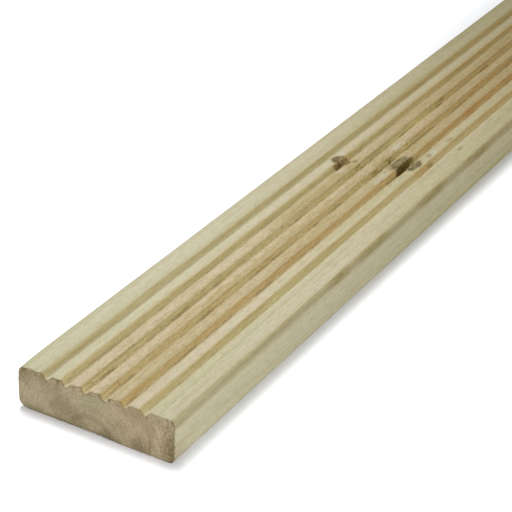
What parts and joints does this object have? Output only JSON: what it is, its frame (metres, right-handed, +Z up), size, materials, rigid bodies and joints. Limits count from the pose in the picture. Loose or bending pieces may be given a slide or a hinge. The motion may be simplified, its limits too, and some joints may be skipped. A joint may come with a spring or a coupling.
{
  "type": "decking board",
  "caption": "Grooved softwood decking board with rounded ribs and eased long edges, laid flat across joists as a walking surface.",
  "frame": {"origin": "centre of the plain underside, which lies on the joists", "axes": "+X along the board's length and grain, +Y across its width, +Z up out of the grooved face"},
  "size_m": [1.8, 0.12, 0.032],
  "materials": {
    "treated_pine": "planed, bare, pressure treated"
  },
  "bodies": {
    "root": {"decking_board": "treated_pine"}
  },
  "joints": []
}
